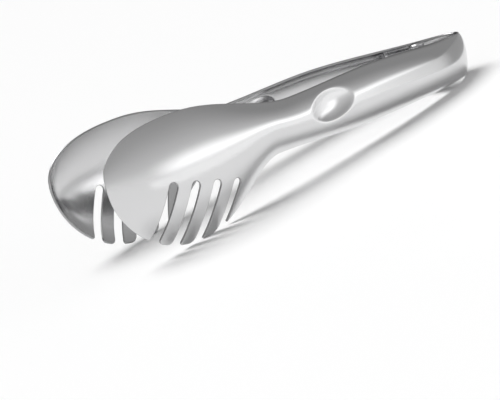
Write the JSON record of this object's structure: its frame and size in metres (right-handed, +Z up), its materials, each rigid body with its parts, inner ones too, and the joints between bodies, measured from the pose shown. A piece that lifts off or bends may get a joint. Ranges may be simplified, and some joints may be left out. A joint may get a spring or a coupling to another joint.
{
  "type": "spaghetti tongs",
  "caption": "Polished steel spaghetti tongs: two cupped arms with slotted oval jaws and thumb dimples, hinged on a pin near the rear end and sprung open.",
  "frame": {"origin": "middle of the overall box on the surface that the tongs stand on, open, on their tines and rear edge", "axes": "+X along the length towards the hinge end, +Y towards the left arm, +Z up"},
  "size_m": [0.234, 0.0682, 0.0584],
  "materials": {
    "arm_steel": "polished",
    "hinge_steel": "satin",
    "spring_wire": "drawn"
  },
  "bodies": {
    "left_arm": {"arm_left": "arm_steel", "hinge_leaf_left": "hinge_steel", "hinge_pin": "hinge_steel", "pin_cap": "hinge_steel", "pin_sleeve": "hinge_steel", "torsion_spring": "spring_wire"},
    "right_arm": {"arm_right": "arm_steel", "hinge_leaf_right": "hinge_steel"}
  },
  "joints": [
    {"name": "squeeze", "type": "hinge", "parent": "left_arm", "child": "right_arm", "pos_m": [0.08916, 0, 0.01501], "axis": [-0.1068, 0, -0.9943], "range_deg": [0, 12.9], "stiffness_Nm_per_rad": 2, "springref_deg": -11.46, "deforming": ["torsion_spring"]}
  ]
}
